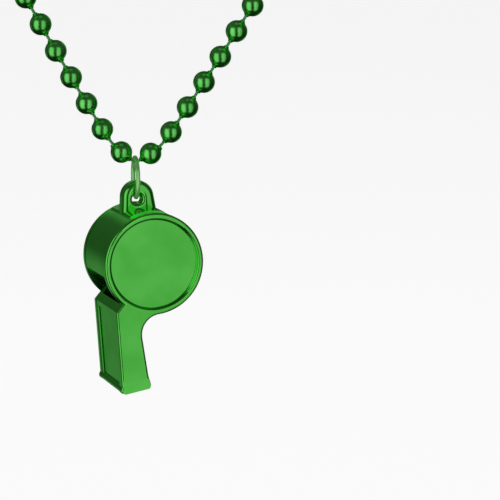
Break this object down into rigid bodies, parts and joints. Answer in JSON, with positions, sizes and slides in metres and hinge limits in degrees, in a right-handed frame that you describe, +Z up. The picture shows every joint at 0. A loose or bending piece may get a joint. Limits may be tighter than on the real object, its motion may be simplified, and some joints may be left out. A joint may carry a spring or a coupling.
{
  "type": "pea whistle on a bead necklace",
  "caption": "Pea whistle with a flat mouthpiece, hanging by a jump ring through its lug from a closed loop of round beads moulded on a string.",
  "frame": {"origin": "the neck rest: level with the top of the string, straight above the whistle, where a wearer's neck or a hook holds the necklace", "axes": "+Z up, along the hanging necklace; Y along the whistle's barrel, with -Y out of its front cover; -X towards the whistle's window side"},
  "size_m": [0.2389, 0.0815, 0.3245],
  "materials": {
    "whistle_plastic": "metallised green, bright gloss",
    "bead_plastic": "metallised green, bright gloss",
    "ring_metal": "green plated, bright",
    "pea_plastic": "plain green, satin",
    "string": "coated thread"
  },
  "bodies": {
    "necklace": {"string": "string", "closure_beads": "bead_plastic", "beads_right_middle": "bead_plastic", "beads_right_upper": "bead_plastic", "beads_right_top": "bead_plastic", "beads_back_right": "bead_plastic", "beads_back_middle_right": "bead_plastic", "beads_back_middle_left": "bead_plastic", "beads_back_left": "bead_plastic", "beads_left_top": "bead_plastic", "beads_left_upper": "bead_plastic", "beads_left_middle": "bead_plastic", "beads_left_lower": "bead_plastic", "beads_right_lower": "bead_plastic"},
    "ring": {"jump_ring": "ring_metal"},
    "whistle": {"body_shell": "whistle_plastic", "front_cover": "whistle_plastic", "rear_cover": "whistle_plastic", "windway_block": "whistle_plastic"},
    "pea": {"pea": "pea_plastic"}
  },
  "joints": [
    {"name": "ring_swing", "type": "hinge", "parent": "necklace", "child": "ring", "pos_m": [0.00001, 0, -0.26136], "axis": [0.9848, -0.1736, 0], "range_deg": [-80, 80]},
    {"name": "whistle_swing", "type": "hinge", "parent": "ring", "child": "whistle", "pos_m": [0, 0, -0.27086], "axis": [0, 1, 0], "range_deg": [-60, 60]},
    {"name": "pea_roll", "type": "hinge", "parent": "whistle", "child": "pea", "pos_m": [0.00184, 0, -0.28763], "axis": [0, 1, 0], "continuous": true}
  ]
}
